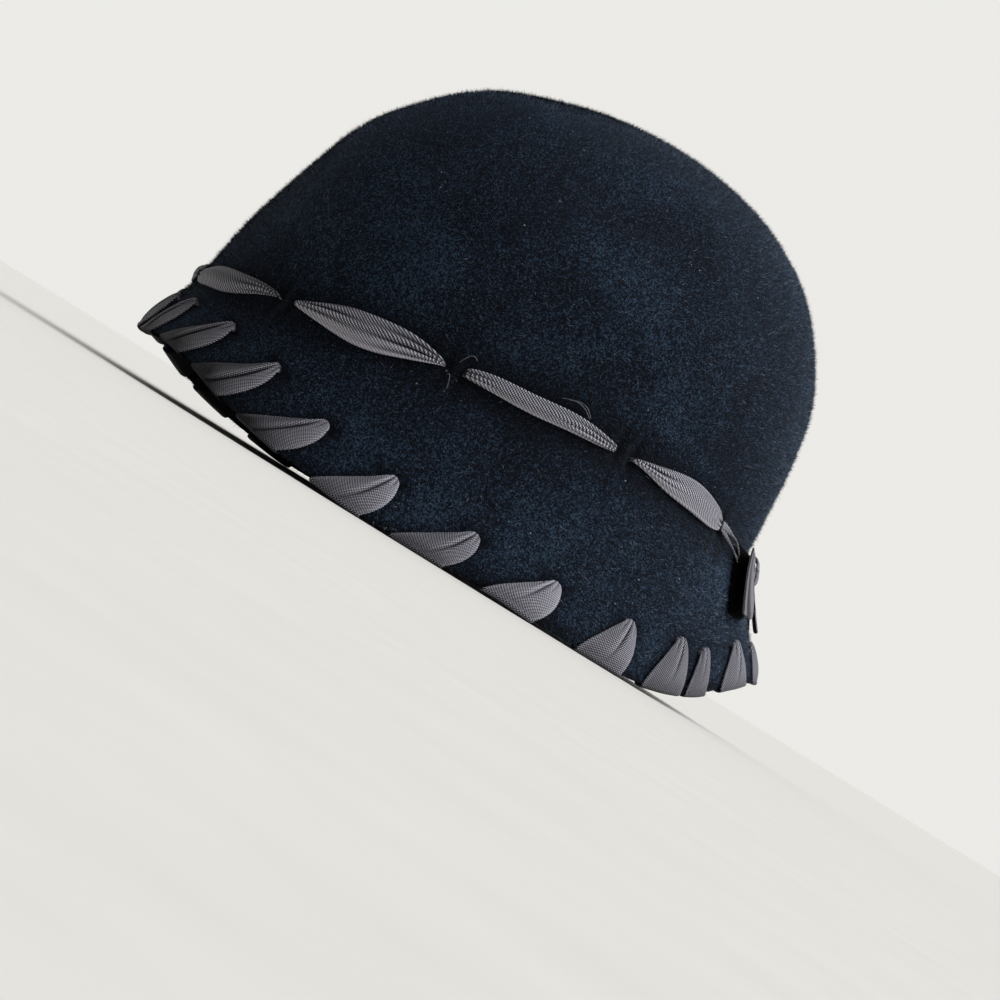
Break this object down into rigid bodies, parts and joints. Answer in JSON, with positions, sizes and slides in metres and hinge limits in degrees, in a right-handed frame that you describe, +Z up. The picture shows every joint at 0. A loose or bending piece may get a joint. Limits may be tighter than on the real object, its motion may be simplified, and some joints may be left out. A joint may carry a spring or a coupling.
{
  "type": "cloche hat",
  "caption": "Soft dark navy fur-felt cloche hat with a short turned-down brim, ribbon laced through the crown base and over the brim edge, and a flat bow at the left of the back.",
  "frame": {"origin": "centre of the hat's bounding box at its underside, on the surface that the brim rests on", "axes": "+Z up, the face side of the hat towards -Y, the wearer's left towards +X"},
  "size_m": [0.1944, 0.2366, 0.1585],
  "materials": {
    "felt": "matt brushed fur felt",
    "crown_ribbon": "ribbed ribbon with a slight sheen",
    "brim_ribbon": "ribbed ribbon with a slight sheen",
    "bow": "ribbed ribbon with a slight sheen"
  },
  "bodies": {
    "root": {"felt_body": "felt", "crown_ribbon": "crown_ribbon", "brim_ribbon": "brim_ribbon", "bow_loops": "bow", "bow_knot": "bow"}
  },
  "joints": []
}
